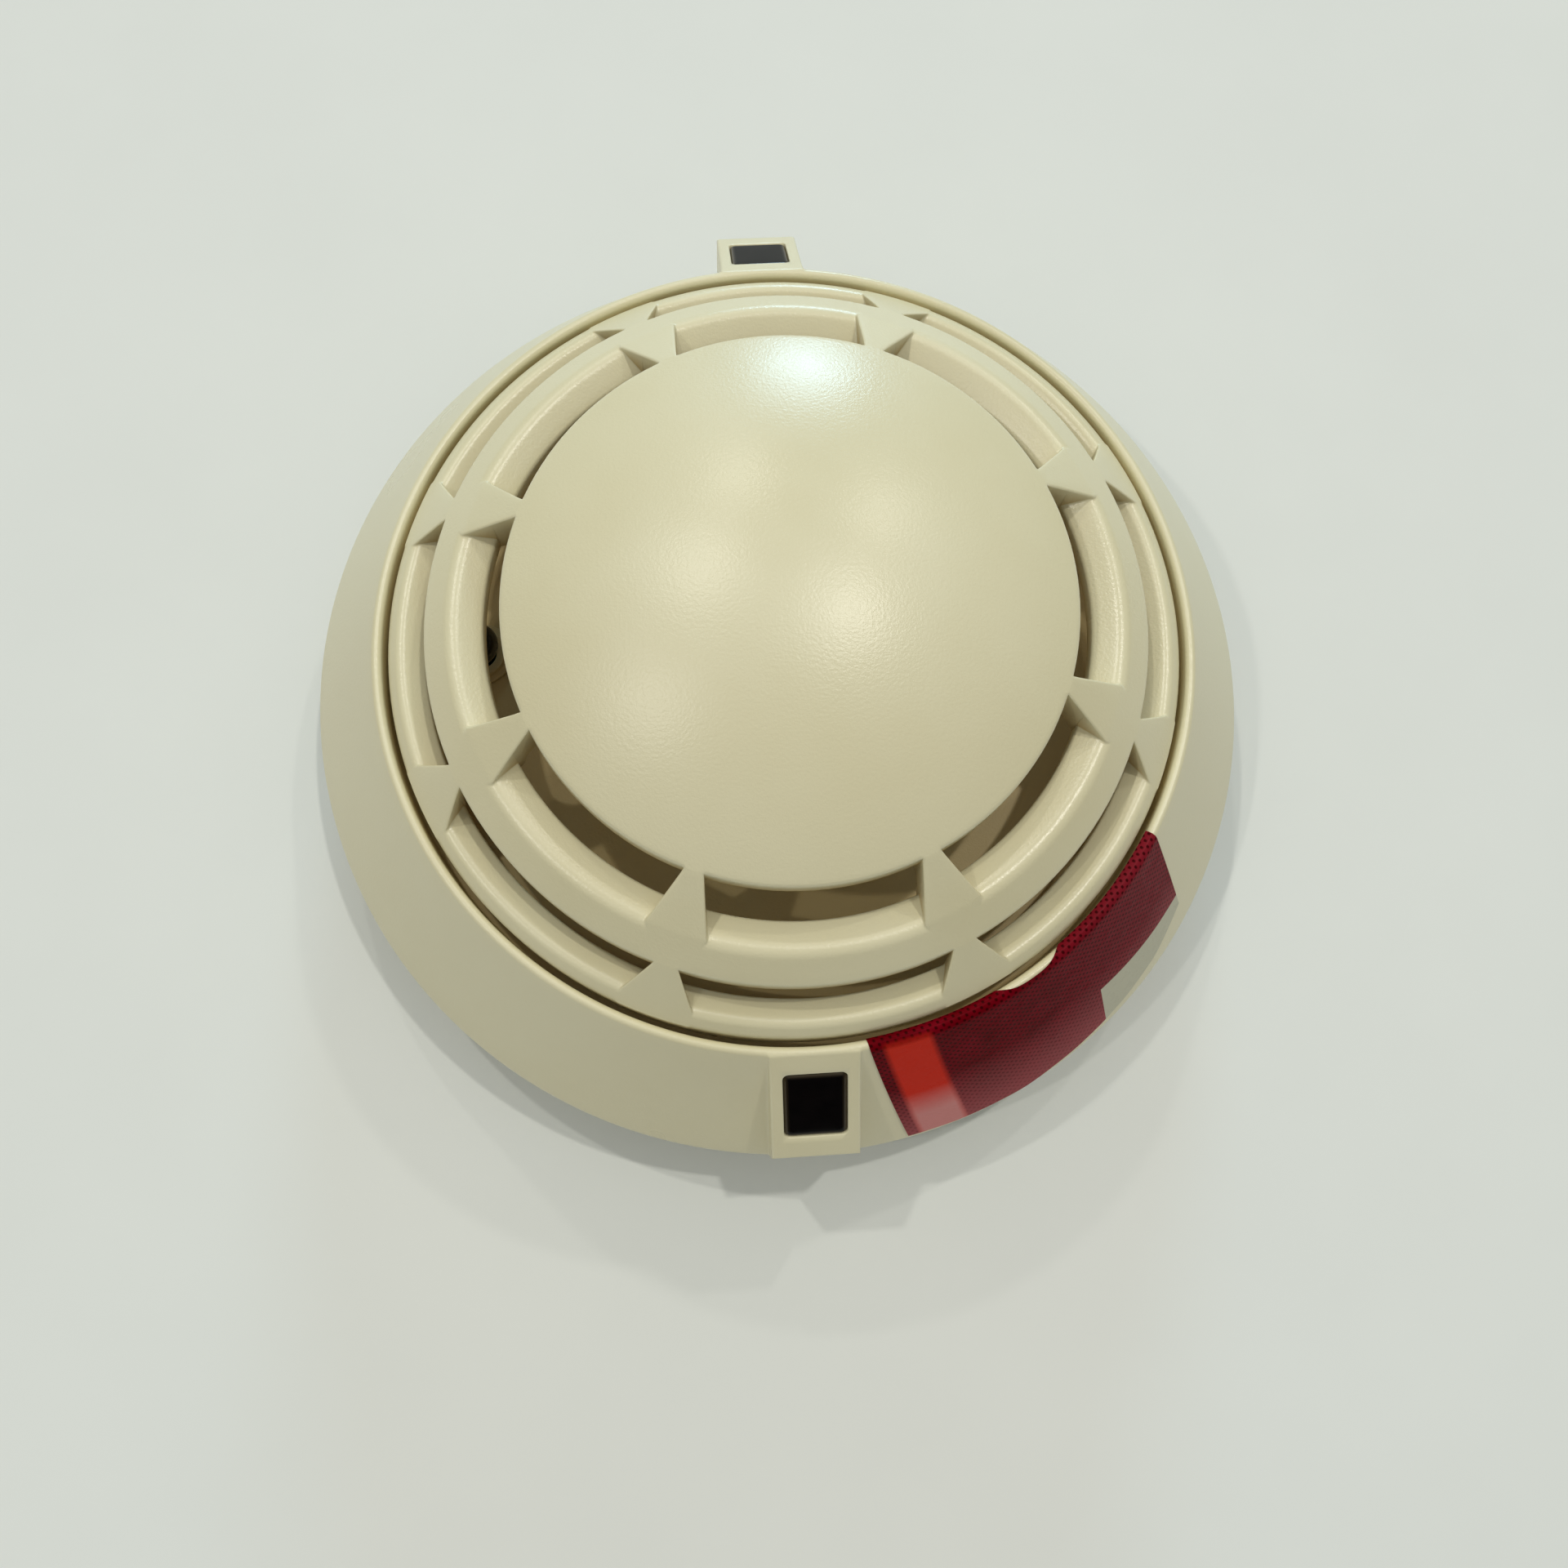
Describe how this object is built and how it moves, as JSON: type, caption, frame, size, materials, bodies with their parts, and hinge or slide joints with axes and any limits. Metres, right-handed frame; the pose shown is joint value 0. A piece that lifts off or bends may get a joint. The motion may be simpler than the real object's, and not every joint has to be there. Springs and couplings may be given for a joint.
{
  "type": "heat detector",
  "caption": "Round ceiling heat detector: slotted inlet cover around a crowned disc, sloping skirt with smoked indicator windows, blank red seal film and a twist-lock base.",
  "frame": {"origin": "centre of the base's ceiling face, at the bottom of the overall box", "axes": "+Z from the ceiling into the room, Y through the two indicator windows, the near window on -Y"},
  "size_m": [0.1, 0.1002, 0.0456],
  "materials": {
    "cream_plastic": "fine spark-textured gloss",
    "base_plastic": "satin",
    "black_rubber": "matte",
    "screw_steel": "zinc plated",
    "green_board": "solder resist",
    "chip_black": "matte",
    "capacitor_sleeve": "gloss",
    "reed_glass": "clear glass",
    "black_epoxy": "gloss",
    "red_lens": "clear tinted",
    "smoked_window": "polished",
    "red_film": "metallised film",
    "contact_brass": "satin"
  },
  "bodies": {
    "base": {"mounting_base": "base_plastic", "base_contact_1": "contact_brass", "base_contact_2": "contact_brass", "base_contact_3": "contact_brass", "base_contact_4": "contact_brass", "terminal_clamps": "screw_steel", "terminal_screws": "screw_steel"},
    "head": {"outer_housing": "cream_plastic", "rear_cover": "cream_plastic", "sealing_gasket": "black_rubber", "housing_screws": "screw_steel", "circuit_board": "green_board", "controller_chip": "chip_black", "capacitor": "capacitor_sleeve", "bridge_rectifier": "chip_black", "resistors": "chip_black", "reed_switch": "reed_glass", "reference_thermistor": "black_epoxy", "sensing_thermistor": "black_epoxy", "thermistor_sleeve": "cream_plastic", "led_near": "red_lens", "led_far": "red_lens", "window_near": "smoked_window", "window_far": "smoked_window", "contact_blade_1": "contact_brass", "contact_blade_2": "contact_brass", "contact_blade_3": "contact_brass", "contact_blade_4": "contact_brass", "seal_film": "red_film"},
    "cover": {"inlet_cover": "cream_plastic"}
  },
  "joints": [
    {"name": "head_twist", "type": "hinge", "parent": "base", "child": "head", "pos_m": [0, 0, 0.01], "axis": [0, 0, 1], "range_deg": [0, 18]},
    {"name": "cover_lift", "type": "slide", "parent": "head", "child": "cover", "axis": [0, 0, 1], "range_m": [0, 0.03]}
  ]
}
